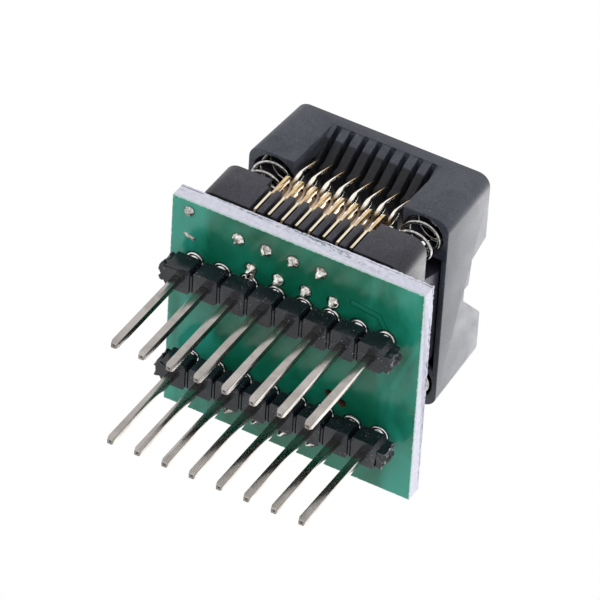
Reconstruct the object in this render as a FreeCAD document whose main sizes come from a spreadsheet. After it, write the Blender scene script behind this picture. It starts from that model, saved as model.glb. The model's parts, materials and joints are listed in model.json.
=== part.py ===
import FreeCAD, Part
import math
import os
import re
import Sketcher

# An adapter for programming chips: an open-top test socket on a circuit board, over two strips of pins.
# Origin at the tips of the pins, in plan at the middle of the board. +Z runs from the pins to the socket.
# The long sides with the contacts face -Y and +Y, the end walls face -X and +X.

V = FreeCAD.Vector
doc = FreeCAD.newDocument("Adapter")

sizes = [
    # circuit board
    ("board_length", 23.2),
    ("board_width", 21.6),
    ("board_thickness", 1.6),
    ("board_underside", 12.7),
    ("header_hole", 1.0),
    ("tail_hole", 0.8),
    ("via_one_x", 3.67),
    ("via_one_y", 3.1),
    ("via_two_x", 4.92),
    ("via_two_y", 3.57),
    ("spot_one_x", -9.98),
    ("spot_one_y", -9.86),
    ("spot_two_x", -9.82),
    ("spot_two_y", -7.22),
    # pin headers
    ("pin_pitch", 2.54),
    ("row_spacing", 10.16),
    ("pins_per_row", 8),
    ("header_x", -0.4),
    ("header_y", 0.15),
    ("strip_depth", 2.5),
    ("strip_thickness", 1.75),
    ("strip_standoff", 1.0),
    ("way_notch_length", 0.3),
    ("way_notch_depth", 0.5),
    ("stub_left", 0.75),
    ("stub_right", 1.0),
    ("pin_width", 0.64),
    ("pin_tip_angle", 10.6),
    ("pin_taper", 0.8),
    ("pin_top_below_board_top", 0.1),
    # solder
    ("cone_radius", 0.74),
    ("cone_flare_height", 0.3),
    ("cone_flare_angle", 30),
    ("cone_height", 0.85),
    ("cone_angle", 10),
    ("dome_radius", 0.64),
    ("dome_flare_height", 0.38),
    ("dome_flare_angle", 28),
    ("dome_height", 0.5),
    ("dome_angle", 60),
    ("spot_radius", 0.6),
    ("spot_height", 0.3),
    ("spot_angle", 40),
    # socket as a whole
    ("socket_x", -0.95),
    ("contact_pitch", 1.27),
    ("contacts_per_side", 8),
    # socket base
    ("base_length", 18.66),
    ("base_setback", 0.2),
    ("base_height", 4.7),
    ("base_corner_radius", 1.3),
    ("base_slot", 0.7),
    ("front_ledge_drop", 1.0),
    ("front_ledge_depth", 2.0),
    ("nest_end_wall", 1.2),
    ("nest_side_wall", 2.3),
    ("nest_wall_height", 2.8),
    ("chip_length", 9.9),
    ("chip_body_width", 3.9),
    ("chip_lead_span", 6.0),
    ("chip_clearance", 0.3),
    ("seat_height", 2.0),
    ("chip_body_drop", 0.15),
    ("leg_clearance", 0.2),
    ("foot_clearance", 0.15),
    ("heel_clearance", 0.3),
    ("arm_slot_drop", 0.7),
    ("cut_margin", 1.0),
    # lugs on the base that guide the cover
    ("lug_inset", 0.68),
    ("lug_thickness", 1.55),
    ("lug_clearance", 0.27),
    ("lug_middle_height", 4.2),
    ("lug_tower_height", 5.4),
    ("lug_tower_inner", 3.2),
    ("lug_tower_outer", 4.3),
    ("lug_slant_height", 3.6),
    ("lug_slant_inset", 1.0),
    ("lug_foot", 0.7),
    # snap hooks of the cover
    ("hook_width", 4.8),
    ("hook_thickness", 0.5),
    ("hook_barb", 0.55),
    ("hook_barb_height", 0.7),
    ("hook_gap", 0.15),
    ("ledge_height", 1.4),
    # socket cover
    ("press_travel", 3.0),
    ("cover_gap", 3.7),
    ("cover_height", 8.0),
    ("cover_setback", 0.75),
    ("cover_draft_angle", 2.0),
    ("cover_corner_radius", 1.2),
    ("cover_top_chamfer", 0.5),
    ("cover_top_bar", 1.7),
    ("relieved_wall", 0.5),
    ("relief_clearance", 0.4),
    ("cover_slot", 0.5),
    ("rib_top_inset", 0.42),
    ("rib_top_drop", 1.05),
    ("rib_face_inset", 1.61),
    ("rib_face_drop", 2.97),
    ("rib_end_drop", 3.8),
    ("rib_inner_drop", 2.7),
    ("rib_end_radius", 0.25),
    ("opening_length", 12.6),
    ("opening_width", 9.6),
    ("funnel_angle", 35),
    # the stepped notch in each end wall, from its middle and its floor
    ("notch_floor_drop", 3.95),
    ("notch_left_top", 3.35),
    ("notch_left_foot", 2.45),
    ("notch_left_rise", 1.05),
    ("notch_shelf_rise", 0.75),
    ("notch_shelf_end", 0.05),
    ("notch_floor_end", 1.2),
    ("notch_step_end", 1.75),
    ("notch_step_rise", 0.55),
    ("notch_slope_end", 4.75),
    ("notch_slope_rise", 3.4),
    ("notch_right_top", 5.7),
    # springs
    ("spring_end_inset", 2.38),
    ("spring_side_inset", 2.25),
    ("spring_radius", 1.57),
    ("wire_radius", 0.16),
    ("spring_turns", 6),
    ("spring_closed_turns", 0.75),
    ("spring_pocket_depth", 3.8),
    ("spring_pocket_clearance", 0.2),
    # contacts
    ("contact_thickness", 0.35),
    ("leg_inset", 0.2),
    ("leg_band", 0.8),
    ("leg_step", 0.25),
    ("leg_step_height", 3.45),
    ("foot_gap", 0.05),
    ("foot_height", 0.85),
    ("tail_inset", 1.45),
    ("tail_stagger", 2.5),
    ("tail_width", 0.5),
    ("tail_below_board", 0.35),
    ("loop_top", 6.8),
    ("loop_band", 0.55),
    ("loop_width", 2.05),
    ("loop_inner_cut", 0.2),
    ("heel_height", 4.6),
    ("heel_reach", 2.15),
    ("shelf_height", 5.5),
    ("lever_inset", 0.85),
    ("lever_root_rise", 0.2),
    ("lever_reach", 0.8),
    ("lever_tip_height", 11.3),
    ("lever_tip_width", 0.16),
    ("arm_height", 7.1),
    ("arm_band", 0.7),
    ("lead_overlap", 0.25),
    ("arm_tip_lift", 0.1),
]

sheet = doc.addObject("Spreadsheet::Sheet", "Sizes")
for row, (alias, value) in enumerate(sizes, start=1):
    sheet.set(f"A{row}", alias.replace("_", " "))
    sheet.set(f"B{row}", str(value))
    sheet.setAlias(f"B{row}", alias)

# Places that follow from the sizes, across the socket and then above the pin tips.
levels = [
    ("base_width", "board_width - 2 * base_setback"),
    ("cover_width", "base_width - 2 * cover_setback"),
    ("comb_length", "contact_pitch * contacts_per_side"),
    ("nest_length", "chip_length + chip_clearance"),
    ("nest_width", "chip_lead_span + 2 * chip_clearance"),
    ("spring_x", "base_length / 2 - spring_end_inset"),
    ("spring_y", "cover_width / 2 - spring_side_inset"),
    ("lug_outer", "base_length / 2 - lug_inset"),
    ("lug_inner", "lug_outer - lug_thickness"),
    ("lug_half_width", "spring_y - spring_radius - wire_radius - lug_clearance"),
    ("leg_outer", "base_width / 2 - leg_inset"),
    ("leg_inner", "leg_outer - leg_band"),
    ("loop_inner", "leg_outer - loop_width"),
    ("heel_inner", "loop_inner - heel_reach"),
    ("lever_root", "loop_inner - lever_inset"),
    ("arm_tip", "chip_lead_span / 2 - lead_overlap"),
    ("tail_row_outer", "leg_outer - tail_inset"),
    ("tail_row_inner", "tail_row_outer - tail_stagger"),
    ("throat_length", "opening_length - 2 * cover_top_bar * tan(funnel_angle * 1 deg)"),
    ("throat_width", "opening_width - 2 * cover_top_bar * tan(funnel_angle * 1 deg)"),
    ("cone_neck", "cone_radius - cone_flare_height * tan(cone_flare_angle * 1 deg)"),
    ("dome_neck", "dome_radius - dome_flare_height * tan(dome_flare_angle * 1 deg)"),
    ("board_top", "board_underside + board_thickness"),
    ("strip_top", "board_underside - strip_standoff"),
    ("pin_top", "board_top - pin_top_below_board_top"),
    ("shoulder", "board_top + base_height"),
    ("seat", "shoulder + seat_height"),
    ("cover_bottom", "shoulder + cover_gap"),
    ("cover_top", "cover_bottom + cover_height"),
    ("cover_draft", "cover_height * tan(cover_draft_angle * 1 deg)"),
    ("ribs_root", "cover_top - cover_top_bar"),
    ("relief_top", "shoulder + lug_middle_height + press_travel + relief_clearance"),
    ("tower_relief_top", "shoulder + lug_tower_height + press_travel + relief_clearance"),
    ("spring_ceiling", "cover_bottom + spring_pocket_depth"),
    ("ledge", "shoulder + ledge_height"),
    ("cover_inside_x", "base_length / 2 - relieved_wall"),
    ("tail_tip", "board_underside - tail_below_board"),
]
for row, (alias, formula) in enumerate(levels, start=len(sizes) + 1):
    sheet.set(f"A{row}", alias.replace("_", " "))
    sheet.set(f"B{row}", "=" + formula)
    sheet.setAlias(f"B{row}", alias)
doc.recompute()


def in_sheet(formula):
    """Every name in a formula is a cell of the sheet."""
    return re.sub(r"([a-z]\w*)", r"Sizes.\1", formula)


def value(formula):
    return sheet.evalExpression(in_sheet(formula))


def bind(thing, name, formula):
    thing.setExpression(name, in_sheet(formula))


def new_body(label):
    body = doc.addObject("PartDesign::Body", label)
    body.Label = label
    return body


def new_sketch(body, role, level):
    """A sketch on one of the body's own planes, lifted to a level."""
    sketch = body.newObject("Sketcher::SketchObject", "Sketch")
    plane = [f for f in body.Origin.OriginFeatures if f.Role == role][0]
    sketch.AttachmentSupport = [(plane, "")]
    sketch.MapMode = "FlatFace"
    bind(sketch, "AttachmentOffset.Base.z", level)
    return sketch


def pin_point(sketch, geometry, point, x, y):
    for kind, formula in (("DistanceX", x), ("DistanceY", y)):
        number = sketch.addConstraint(Sketcher.Constraint(kind, geometry, point, value(formula)))
        bind(sketch, f"Constraints[{number}]", formula)


def add_outline(sketch, corners):
    """A closed outline of straight edges, each corner held by two formulas."""
    points = [V(value(x), value(y), 0) for x, y in corners]
    edges = []
    for here, there in zip(points, points[1:] + points[:1]):
        edges.append(sketch.addGeometry(Part.LineSegment(here, there), False))
    for edge, following in zip(edges, edges[1:] + edges[:1]):
        sketch.addConstraint(Sketcher.Constraint("Coincident", edge, 2, following, 1))
    for edge, (x, y) in zip(edges, corners):
        pin_point(sketch, edge, 1, x, y)


def add_circle(sketch, x, y, diameter):
    centre = V(value(x), value(y), 0)
    circle = sketch.addGeometry(Part.Circle(centre, V(0, 0, 1), value(diameter) / 2), False)
    pin_point(sketch, circle, 3, x, y)
    number = sketch.addConstraint(Sketcher.Constraint("Diameter", circle, value(diameter)))
    bind(sketch, f"Constraints[{number}]", diameter)


def outline(body, role, level, corners):
    sketch = new_sketch(body, role, level)
    add_outline(sketch, corners)
    return sketch


def rectangle(body, level, x0, y0, x1, y1):
    return outline(body, "XY_Plane", level, [(x0, y0), (x1, y0), (x1, y1), (x0, y1)])


def centred(body, level, length, width):
    x, y = f"( {length} ) / 2", f"( {width} ) / 2"
    return rectangle(body, level, f"-{x}", f"-{y}", x, y)


def pad(body, sketch, length, midplane=False, down=False, taper=None):
    """Adds to the body, up from the sketch, or down, or both ways. A taper narrows it on its way."""
    feature = body.newObject("PartDesign::Pad", "Pad")
    feature.Profile = sketch
    feature.SideType = "Symmetric" if midplane else "One side"
    feature.Reversed = down
    bind(feature, "Length", length)
    if taper:
        bind(feature, "TaperAngle", f"-( {taper} )")
    body.Tip = feature
    doc.recompute()
    return feature


def pocket(body, sketch, length, midplane=False, up=False, taper=None):
    """Cuts down from the sketch, or up, or both ways, and checks that something was cut."""
    before = body.Shape.Volume
    feature = body.newObject("PartDesign::Pocket", "Pocket")
    feature.Profile = sketch
    feature.SideType = "Symmetric" if midplane else "One side"
    feature.Reversed = up
    bind(feature, "Length", length)
    if taper:
        bind(feature, "TaperAngle", f"-( {taper} )")
    body.Tip = feature
    doc.recompute()
    if not feature.Shape.Volume < before:
        raise RuntimeError(f"a pocket in {body.Label} cuts nothing")
    return feature


def repeat(body, feature, count, step, across=None):
    """Copies a feature along X, and once more along Y where a distance across is given."""
    axes = {f.Role: f for f in body.Origin.OriginFeatures}
    pattern = body.newObject("PartDesign::LinearPattern", "Pattern")
    pattern.Originals = [feature]
    pattern.Direction = (axes["X_Axis"], [""])
    bind(pattern, "Occurrences", count)
    bind(pattern, "Length", f"( {step} ) * ( {count} - 1 )")
    if across:
        pattern.Direction2 = (axes["Y_Axis"], [""])
        pattern.Occurrences2 = 2
        bind(pattern, "Length2", across)
    body.Tip = pattern
    doc.recompute()


def finish_edges(body, kind, size, test):
    """A Fillet or a Chamfer on the edges that the test picks."""
    base = body.Tip
    names = [f"Edge{number}" for number, edge in enumerate(base.Shape.Edges, start=1) if test(edge)]
    feature = body.newObject(f"PartDesign::{kind}", kind)
    feature.Base = (base, names)
    bind(feature, "Radius" if kind == "Fillet" else "Size", size)
    body.Tip = feature
    doc.recompute()


def draft_sides(body, level, angle, face_up=False):
    """Leans the upright faces in, away from the flat face at a level, which looks up or down."""
    base = body.Tip
    height = value(level)
    sides = []
    for number, face in enumerate(base.Shape.Faces, start=1):
        if abs(face.normalAt(0, 0).z) < 0.5:
            sides.append(f"Face{number}")
        elif abs(face.CenterOfMass.z - height) < 1e-4:
            flat = f"Face{number}"
    feature = body.newObject("PartDesign::Draft", "Draft")
    feature.Base = (base, sides)
    feature.NeutralPlane = (base, [flat])
    feature.Reversed = face_up
    bind(feature, "Angle", angle)
    body.Tip = feature
    doc.recompute()


def direction(edge):
    return (edge.Vertexes[-1].Point - edge.Vertexes[0].Point).normalize()


def upright(edge):
    """A straight edge that stands, or leans by no more than the mould's draft."""
    return abs(direction(edge).z) > 0.98


def along_x_at(places):
    """Picks the edges along X that pass through the given places in Y and Z."""
    near = 1e-4

    def test(edge):
        centre = edge.CenterOfMass
        if edge.Curve.TypeId != "Part::GeomLine" or abs(direction(edge).x) < 0.99:
            return False
        return any(abs(centre.y - y) < near and abs(centre.z - z) < near for y, z in places)
    return test


def octagon(x, y, radius):
    """Corners of an octagon round a place, with the radius to the middle of its sides."""
    corners = []
    for number in range(8):
        angle = math.pi * (2 * number + 1) / 8
        u = math.cos(angle) / math.cos(math.pi / 8)
        v = math.sin(angle) / math.cos(math.pi / 8)
        corners.append((f"{x} + ( {radius} ) * ( {u:.6f} )", f"{y} + ( {radius} ) * ( {v:.6f} )"))
    return corners


def make_board():
    """The board, with open vias. Its holes for pins and tails are filled, so they have few sides."""
    body = new_body("board")
    pad(body, centred(body, "board_underside", "board_length", "board_width"), "board_thickness")
    first_x = "header_x - pin_pitch * ( pins_per_row - 1 ) / 2"
    first_pin = octagon(first_x, "header_y - row_spacing / 2", "header_hole / 2")
    holes = pocket(body, outline(body, "XY_Plane", "board_top", first_pin), "board_thickness")
    repeat(body, holes, "pins_per_row", "pin_pitch", across="row_spacing")
    for row in ("outer", "inner"):
        first_tail = octagon(tail_start[row], f"-tail_row_{row}", "tail_hole / 2")
        holes = pocket(body, outline(body, "XY_Plane", "board_top", first_tail), "board_thickness")
        repeat(body, holes, "contacts_per_side / 2", "2 * contact_pitch", across=f"2 * tail_row_{row}")
    sketch = new_sketch(body, "XY_Plane", "board_top")
    for name in ("one", "two"):
        add_circle(sketch, f"via_{name}_x", f"via_{name}_y", "tail_hole")
    pocket(body, sketch, "board_thickness")
    nodes.append(body)


# The first tail of each row: the rows take the contacts in turn.
tail_start = {
    "outer": "socket_x - contact_pitch * ( contacts_per_side - 1 ) / 2",
    "inner": "socket_x - contact_pitch * ( contacts_per_side - 3 ) / 2",
}


# A torn end of a strip, in shares of the stub's length and of the strip's depth.
torn_edge = [(0.6, 0.36), (1.0, 0.1), (0.72, -0.12), (0.85, -0.3)]


def strip_outline():
    """Eight ways in a row with a notch between them, and a torn stub at each end."""
    near = "( strip_depth / 2 )"
    waist = "( strip_depth / 2 - way_notch_depth )"
    side = []
    for way in range(int(value("pins_per_row"))):
        middle = f"pin_pitch * ( {way} - ( pins_per_row - 1 ) / 2 )"
        side.append((f"{middle} - pin_pitch / 2", waist))
        side.append((f"{middle} - pin_pitch / 2 + way_notch_length", near))
        side.append((f"{middle} + pin_pitch / 2 - way_notch_length", near))
    end = "pin_pitch * pins_per_row / 2"
    side.append((end, waist))
    back = [(f"-( {x} )", f"-( {y} )") for x, y in side]
    right = [(f"{end} + stub_right * {u}", f"strip_depth * ( {v} )") for u, v in torn_edge]
    left = [(f"-( {end} ) - stub_left * {u}", f"strip_depth * ( {-v} )") for u, v in torn_edge]
    return side + right + back + left


def make_strips():
    for label, side in (("header_strip_front", "-"), ("header_strip_back", "+")):
        body = new_body(label)
        pad(body, outline(body, "XY_Plane", "strip_top", strip_outline()), "strip_thickness", down=True)
        half = "pin_width / 2"
        first = "-( pin_pitch ) * ( pins_per_row - 1 ) / 2"
        sketch = rectangle(body, "strip_top", f"{first} - {half}", f"-( {half} )", f"{first} + {half}", half)
        hole = pocket(body, sketch, "strip_thickness")
        repeat(body, hole, "pins_per_row", "pin_pitch")
        bind(body, "Placement.Base.x", "header_x")
        bind(body, "Placement.Base.y", f"header_y {side} row_spacing / 2")
        nodes.append(body)


def make_pin_pattern():
    """One square pin with a tapered tip, standing on the origin."""
    body = new_body("pin_pattern")
    pad(body, centred(body, "pin_taper", "pin_width", "pin_width"), "pin_taper", down=True)
    draft_sides(body, "pin_taper", "pin_tip_angle", face_up=True)
    pad(body, centred(body, "pin_taper", "pin_width", "pin_width"), "pin_top - pin_taper")
    return body


def place_copy(label, pattern, x, y, half_turn=False):
    copy = doc.addObject("Part::Compound", label)
    copy.Label = label
    copy.Links = [pattern]
    bind(copy, "Placement.Base.x", x)
    bind(copy, "Placement.Base.y", y)
    if half_turn:
        copy.Placement.Rotation = FreeCAD.Rotation(V(0, 0, 1), 180)
    nodes.append(copy)
    return copy


def pin_places():
    for side, sign in (("front", "-"), ("back", "+")):
        for way in range(int(value("pins_per_row"))):
            x = f"header_x + pin_pitch * ( {way} - ( pins_per_row - 1 ) / 2 )"
            yield f"{side}_{way + 1}", x, f"header_y {sign} row_spacing / 2"


def make_pins():
    pattern = make_pin_pattern()
    for name, x, y in pin_places():
        place_copy(f"header_pin_{name}", pattern, x, y)


def mound(label, stages):
    """Solder under the board, in stages that narrow downwards. Each has a drop, radius, height and slant."""
    body = new_body(label)
    for drop, radius, height, slant in stages:
        ring = outline(body, "XY_Plane", f"board_underside - {drop}", octagon("0", "0", radius))
        pad(body, ring, height, down=True, taper=slant)
    return body


def make_pin_solder():
    """A cone of solder round each header pin, from its pad on the underside of the board."""
    cone = mound("pin_solder_pattern", [
        ("0", "cone_radius", "cone_flare_height", "cone_flare_angle"),
        ("cone_flare_height", "cone_neck", "cone_height - cone_flare_height", "cone_angle"),
    ])
    pocket(cone, centred(cone, "board_underside", "pin_width", "pin_width"), "cone_height")
    group("pin_solder", [(cone, value(x), value(y)) for name, x, y in pin_places()])


def make_tail_solder():
    """A dome of solder over each tail of the socket. The rows take the contacts in turn."""
    dome = mound("tail_solder_pattern", [
        ("0", "dome_radius", "dome_flare_height", "dome_flare_angle"),
        ("dome_flare_height", "dome_neck", "dome_height - dome_flare_height", "dome_angle"),
    ])
    sketch = centred(dome, "board_underside", "contact_thickness", "tail_width")
    pocket(dome, sketch, "tail_below_board")
    group("tail_solder", [(dome, value(x), value(y)) for name, x, y, row in contact_places()])


def make_via_solder():
    """Two plain vias near a corner, closed with a flat blob of solder."""
    spot = mound("via_solder_pattern", [("0", "spot_radius", "spot_height", "spot_angle")])
    places = [(value(f"spot_{name}_x"), value(f"spot_{name}_y")) for name in ("one", "two")]
    group("via_solder", [(spot, x, y) for x, y in places])


def group(label, copies):
    """Separate solids of one kind, in one node."""
    feature = doc.addObject("Part::Feature", label)
    feature.Label = label
    solids = []
    for pattern, x, y in copies:
        solid = pattern.Shape.copy()
        solid.translate(V(x, y, 0))
        solids.append(solid)
    feature.Shape = Part.makeCompound(solids)
    nodes.append(feature)


def contact_places():
    """Each contact's name, place and row. The stamping is turned half round on the back side."""
    for side, sign in (("front", "-"), ("back", "+")):
        for number in range(int(value("contacts_per_side"))):
            row = "inner" if number % 2 else "outer"
            x = f"socket_x + contact_pitch * ( {number} - ( contacts_per_side - 1 ) / 2 )"
            yield f"{side}_{number + 1}", x, f"{sign}1 * tail_row_{row}", row


def make_contact_pattern(row):
    """A contact stamped from sheet: tail, foot, leg, sprung loop, then a lever and an arm to the chip."""
    body = new_body(f"contact_pattern_{row}")
    foot = "board_top + foot_gap"
    tail_out = f"tail_row_{row} + tail_width / 2"
    tail_in = f"tail_row_{row} - tail_width / 2"
    leg_narrow = "leg_outer - leg_step"
    loop_under = "board_top + loop_top - loop_band"
    profile = [
        (tail_out, "tail_tip"),
        (tail_out, foot),
        ("leg_outer", foot),
        ("leg_outer", "board_top + leg_step_height"),
        (leg_narrow, "board_top + leg_step_height + leg_step"),
        (leg_narrow, "board_top + loop_top"),
        ("loop_inner", "board_top + loop_top"),
        ("loop_inner", "board_top + shelf_height"),
        ("lever_root", "board_top + shelf_height + lever_root_rise"),
        ("lever_root + lever_reach", "board_top + lever_tip_height"),
        ("lever_root + lever_reach - lever_tip_width", "board_top + lever_tip_height"),
        ("lever_root", "board_top + arm_height + arm_band"),
        ("heel_inner - arm_band", "board_top + arm_height + arm_band"),
        ("arm_tip + arm_band", "seat + arm_tip_lift + 1.5 * arm_band"),
        ("arm_tip", "seat + arm_tip_lift + 0.5 * arm_band"),
        ("arm_tip", "seat + arm_tip_lift"),
        ("arm_tip + arm_band / 2", "seat + arm_tip_lift"),
        ("heel_inner - arm_band", "board_top + arm_height"),
        ("heel_inner", "board_top + heel_height"),
        ("loop_inner + loop_band", "board_top + heel_height"),
        ("loop_inner + loop_band", f"{loop_under} - loop_inner_cut"),
        ("loop_inner + loop_band + loop_inner_cut", loop_under),
        ("leg_inner - loop_inner_cut", loop_under),
        ("leg_inner", f"{loop_under} - loop_inner_cut"),
        ("leg_inner", "board_top + foot_gap + foot_height"),
        (tail_in, "board_top + foot_gap + foot_height"),
        (tail_in, "tail_tip"),
    ]
    front = [(f"-( {outward} )", height) for outward, height in profile]
    pad(body, outline(body, "YZ_Plane", "0", front), "contact_thickness", midplane=True)
    corners = [(leg_narrow, "board_top + loop_top"), ("loop_inner", "board_top + loop_top")]
    loop_corners = along_x_at([(-value(y), value(z)) for y, z in corners])
    finish_edges(body, "Fillet", "0.45 * ( leg_outer - leg_step - loop_inner )", loop_corners)
    return body


def make_contacts():
    patterns = {row: make_contact_pattern(row) for row in ("outer", "inner")}
    for name, x, y, row in contact_places():
        place_copy(f"contact_{name}", patterns[row], x, "0", half_turn=name.startswith("back"))


def cut_slots(body, profile, width):
    """Cuts the first slot of the comb on both long sides, and repeats it along the comb."""
    sketch = new_sketch(body, "YZ_Plane", "-( contact_pitch ) * ( contacts_per_side - 1 ) / 2")
    add_outline(sketch, [(f"-( {y} )", z) for y, z in profile])
    add_outline(sketch, profile)
    slot = pocket(body, sketch, width, midplane=True)
    repeat(body, slot, "contacts_per_side", "contact_pitch")


def make_base():
    body = new_body("socket_base")
    pad(body, centred(body, "board_top", "base_length", "base_width"), "base_height")
    finish_edges(body, "Fillet", "base_corner_radius", upright)
    block_length = "nest_length + 2 * nest_end_wall"
    block_width = "nest_width + 2 * nest_side_wall"
    pad(body, centred(body, "shoulder", block_length, block_width), "nest_wall_height")
    add_lugs(body)
    for side in ("-", "+"):
        inner = f"{side}1 * ( base_width / 2 - front_ledge_depth )"
        outer = f"{side}1 * ( base_width / 2 + cut_margin )"
        ledge = rectangle(body, "shoulder", "-( comb_length ) / 2", inner, "comb_length / 2", outer)
        pocket(body, ledge, "front_ledge_drop")
    nest = centred(body, "shoulder + nest_wall_height", "nest_length", "nest_width")
    pocket(body, nest, "nest_wall_height - seat_height")
    middle = centred(body, "seat", "nest_length", "chip_body_width + chip_clearance")
    pocket(body, middle, "chip_body_drop")
    foot_ceiling = "board_top + foot_gap + foot_height + foot_clearance"
    heel_floor = "board_top + heel_height - heel_clearance"
    arm_floor = "seat - arm_slot_drop"
    above = "shoulder + nest_wall_height + cut_margin"
    profile = [
        ("base_width / 2 + cut_margin", "board_top - cut_margin"),
        ("tail_row_inner - tail_width", "board_top - cut_margin"),
        ("tail_row_inner - tail_width", foot_ceiling),
        ("leg_inner - leg_clearance", foot_ceiling),
        ("leg_inner - leg_clearance", heel_floor),
        ("heel_inner - leg_clearance", heel_floor),
        ("heel_inner - arm_band - leg_clearance", arm_floor),
        ("nest_width / 2 + chip_clearance", arm_floor),
        ("nest_width / 2 + chip_clearance", "seat"),
        ("chip_body_width / 2", "seat"),
        ("chip_body_width / 2", above),
        ("base_width / 2 + cut_margin", above),
    ]
    cut_slots(body, profile, "base_slot")
    bind(body, "Placement.Base.x", "socket_x")
    nodes.append(body)


def add_lugs(body):
    """The lugs at the ends: a middle part, two towers, slanted sides, and a recess for the cover's hook."""
    slant = "lug_half_width - lug_slant_inset"
    half = [
        ("lug_half_width", "shoulder"),
        ("lug_half_width", "shoulder + lug_foot"),
        (slant, "shoulder + lug_slant_height"),
        ("lug_tower_outer", "shoulder + lug_tower_height"),
        ("lug_tower_inner", "shoulder + lug_tower_height"),
        ("lug_tower_inner", "shoulder + lug_middle_height"),
    ]
    lug = half + [(f"-( {y} )", z) for y, z in reversed(half)]
    for side in ("-", "+"):
        start = f"{side}1 * lug_inner"
        pad(body, outline(body, "YZ_Plane", start, lug), "lug_outer - lug_inner", down=side == "-")
    hook_half = "hook_width / 2 + hook_gap"
    recess_out = "lug_inner + hook_barb"
    recess_in = "lug_inner - hook_thickness - 2 * hook_gap"
    depth = "ledge_height + press_travel + hook_barb_height + hook_gap"
    for side in ("-", "+"):
        near, far = (recess_in, recess_out) if side == "+" else (f"-( {recess_out} )", f"-( {recess_in} )")
        pocket(body, rectangle(body, "ledge", near, f"-( {hook_half} )", far, hook_half), depth)


def make_cover():
    body = new_body("socket_cover")
    pad(body, centred(body, "cover_bottom", "base_length", "cover_width"), "cover_height")
    draft_sides(body, "cover_bottom", "cover_draft_angle")
    finish_edges(body, "Fillet", "cover_corner_radius", upright)
    cover_top = value("cover_top")
    finish_edges(body, "Chamfer", "cover_top_chamfer", lambda edge: edge.BoundBox.ZMin > cover_top - 1e-4)
    hollow_cover(body)
    add_comb(body)
    cut_opening(body)
    cut_notches(body)
    add_hooks(body)
    bind(body, "Placement.Base.x", "socket_x")
    nodes.append(body)


def hollow_cover(body):
    """The windows of the long sides, the hollow over the nest and the lugs, and the spring pockets."""
    window = centred(body, "cover_bottom", "comb_length", "2 * cover_width")
    pocket(body, window, "ribs_root - cover_bottom", up=True)
    half = "lug_half_width + relief_clearance / 2"
    over_lugs = centred(body, "cover_bottom", "2 * cover_inside_x", f"2 * ( {half} )")
    pocket(body, over_lugs, "relief_top - cover_bottom", up=True)
    for side in ("-", "+"):
        inner = f"{side}1 * ( lug_tower_inner - relief_clearance )"
        outer = f"{side}1 * ( lug_tower_outer + 3 * relief_clearance )"
        towers = rectangle(body, "cover_bottom", "-( cover_inside_x )", inner, "cover_inside_x", outer)
        pocket(body, towers, "tower_relief_top - cover_bottom", up=True)
    pockets = new_sketch(body, "XY_Plane", "cover_bottom")
    for x in ("-( spring_x )", "spring_x"):
        for y in ("-( spring_y )", "spring_y"):
            add_circle(pockets, x, y, "2 * ( spring_radius + wire_radius + spring_pocket_clearance )")
    pocket(body, pockets, "spring_pocket_depth", up=True)


def add_comb(body):
    """Ribs under the top bar of each long side, with a slot for each contact between them."""
    face = "cover_width / 2 - cover_draft"
    rib = [
        (face, "ribs_root"),
        (f"{face} - rib_top_inset", "ribs_root - rib_top_drop"),
        (f"{face} - rib_face_inset", "ribs_root - rib_face_drop"),
        (f"{face} - rib_face_inset", "ribs_root - rib_end_drop + rib_end_radius"),
        (f"{face} - rib_face_inset - rib_end_radius", "ribs_root - rib_end_drop"),
        (f"{face} - rib_face_inset - 2 * rib_end_radius", "ribs_root - rib_end_drop"),
        (f"{face} - rib_face_inset - 3 * rib_end_radius", "ribs_root - rib_end_drop + rib_end_radius"),
        ("throat_width / 2", "ribs_root - rib_inner_drop"),
        ("throat_width / 2", "ribs_root"),
    ]
    for side in ("-", "+"):
        corners = [(f"{side}1 * ( {y} )", z) for y, z in rib]
        pad(body, outline(body, "YZ_Plane", "0", corners), "comb_length", midplane=True)
    below = "ribs_root - rib_end_drop - cut_margin"
    slot = [
        ("cover_width / 2 + cut_margin", below),
        ("cover_width / 2 + cut_margin", "ribs_root"),
        ("throat_width / 4", "ribs_root"),
        ("throat_width / 4", below),
    ]
    cut_slots(body, slot, "cover_slot")


def cut_opening(body):
    """The opening for the chip, which narrows downwards like a funnel."""
    mouth = centred(body, "cover_top", "opening_length", "opening_width")
    pocket(body, mouth, "cover_top_bar", taper="funnel_angle")
    throat = centred(body, "cover_bottom", "throat_length", "throat_width")
    pocket(body, throat, "cover_height", up=True)


def cut_notches(body):
    """The stepped notch in the top of each end wall."""
    floor = "cover_top - notch_floor_drop"
    notch = [
        ("-( notch_left_top )", "cover_top + cut_margin"),
        ("-( notch_left_top )", "cover_top"),
        ("-( notch_left_foot )", f"{floor} + notch_left_rise"),
        ("-( notch_shelf_end )", f"{floor} + notch_shelf_rise"),
        ("-( notch_shelf_end )", floor),
        ("notch_floor_end", floor),
        ("notch_step_end", f"{floor} + notch_step_rise"),
        ("notch_slope_end", f"{floor} + notch_slope_rise"),
        ("notch_right_top", "cover_top"),
        ("notch_right_top", "cover_top + cut_margin"),
    ]
    pocket(body, outline(body, "YZ_Plane", "throat_length / 2", notch), "base_length", up=True)
    turned = [(f"-( {y} )", z) for y, z in notch]
    pocket(body, outline(body, "YZ_Plane", "-( throat_length ) / 2", turned), "base_length")


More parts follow.
